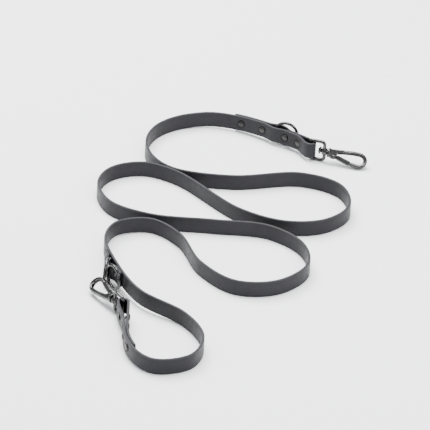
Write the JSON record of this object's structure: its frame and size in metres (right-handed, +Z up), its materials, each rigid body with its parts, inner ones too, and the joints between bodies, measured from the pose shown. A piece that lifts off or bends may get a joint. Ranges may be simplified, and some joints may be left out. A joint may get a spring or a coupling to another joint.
{
  "type": "training leash",
  "caption": "Flat coated-webbing training leash on edge in loose loops, with riveted ends, swivel snap hooks and rings; one end is closed into a hand loop.",
  "frame": {"origin": "bottom centre of the laid-out leash, on the surface that it lies on", "axes": "+Z up, +Y away from the hand loop across the loops, +X to the right"},
  "size_m": [0.3087, 0.5555, 0.0308],
  "materials": {
    "coating": "satin charcoal coated webbing",
    "gunmetal": "polished dark nickel",
    "rivet_metal": "dark satin nickel",
    "spring_steel": "bright spring wire"
  },
  "bodies": {
    "strap": {"strap": "coating", "ring_patch": "coating", "lead_rivet_1_tube": "rivet_metal", "lead_rivet_1_stem": "rivet_metal", "lead_rivet_2_tube": "rivet_metal", "lead_rivet_2_stem": "rivet_metal", "lead_rivet_3_tube": "rivet_metal", "lead_rivet_3_stem": "rivet_metal", "lead_rivet_4_tube": "rivet_metal", "lead_rivet_4_stem": "rivet_metal", "handle_rivet_1_tube": "rivet_metal", "handle_rivet_1_stem": "rivet_metal", "handle_rivet_2_tube": "rivet_metal", "handle_rivet_2_stem": "rivet_metal", "handle_rivet_3_tube": "rivet_metal", "handle_rivet_3_stem": "rivet_metal", "handle_rivet_4_tube": "rivet_metal", "handle_rivet_4_stem": "rivet_metal", "patch_rivet_1_tube": "rivet_metal", "patch_rivet_1_stem": "rivet_metal", "patch_rivet_2_tube": "rivet_metal", "patch_rivet_2_stem": "rivet_metal"},
    "lead_eye": {"lead_eye": "gunmetal"},
    "lead_hook": {"lead_hook_body": "gunmetal", "lead_swivel_pin": "gunmetal", "lead_gate_pin": "gunmetal", "lead_gate_spring": "spring_steel"},
    "lead_gate": {"lead_gate": "gunmetal"},
    "handle_eye": {"handle_eye": "gunmetal"},
    "handle_hook": {"handle_hook_body": "gunmetal", "handle_swivel_pin": "gunmetal", "handle_gate_pin": "gunmetal", "handle_gate_spring": "spring_steel"},
    "handle_gate": {"handle_gate": "gunmetal"},
    "end_ring": {"end_ring": "gunmetal"},
    "patch_ring": {"patch_ring": "gunmetal"},
    "link_ring": {"link_ring": "gunmetal"}
  },
  "joints": [
    {"name": "lead_eye_turn", "type": "hinge", "parent": "strap", "child": "lead_eye", "pos_m": [0.08693, 0.21498, 0.014], "axis": [0, 0, 1], "range_deg": [-50, 60]},
    {"name": "lead_swivel", "type": "hinge", "parent": "lead_eye", "child": "lead_hook", "pos_m": [0.10365, 0.21018, 0.014], "axis": [0.9702, -0.1956, -0.1426], "continuous": true},
    {"name": "lead_gate_open", "type": "hinge", "parent": "lead_hook", "child": "lead_gate", "pos_m": [0.11428, 0.20635, 0.01093], "axis": [-0.0242, -0.6644, 0.747], "range_deg": [0, 22], "stiffness_Nm_per_rad": 0.01, "springref_deg": -20.05},
    {"name": "handle_eye_turn", "type": "hinge", "parent": "strap", "child": "handle_eye", "pos_m": [-0.11319, -0.16581, 0.014], "axis": [0, 0, 1], "range_deg": [-2, 60]},
    {"name": "handle_swivel", "type": "hinge", "parent": "handle_eye", "child": "handle_hook", "pos_m": [-0.12241, -0.15106, 0.014], "axis": [-0.5138, 0.8551, -0.0698], "continuous": true},
    {"name": "handle_gate_open", "type": "hinge", "parent": "handle_hook", "child": "handle_gate", "pos_m": [-0.12688, -0.14025, 0.01455], "axis": [-0.556, -0.27, 0.7861], "range_deg": [0, 22], "stiffness_Nm_per_rad": 0.01, "springref_deg": -20.05},
    {"name": "end_ring_turn", "type": "hinge", "parent": "strap", "child": "end_ring", "pos_m": [0.04503, 0.24783, 0.0154], "axis": [0, 0, 1], "range_deg": [-3, 9]},
    {"name": "patch_ring_turn", "type": "hinge", "parent": "strap", "child": "patch_ring", "pos_m": [-0.13142, -0.07785, 0.0154], "axis": [0, 0, 1], "range_deg": [-10, 0.5]},
    {"name": "link_ring_turn", "type": "hinge", "parent": "strap", "child": "link_ring", "pos_m": [-0.12695, -0.10328, 0.0154], "axis": [0, 0, 1], "range_deg": [-0.5, 2.5]}
  ]
}
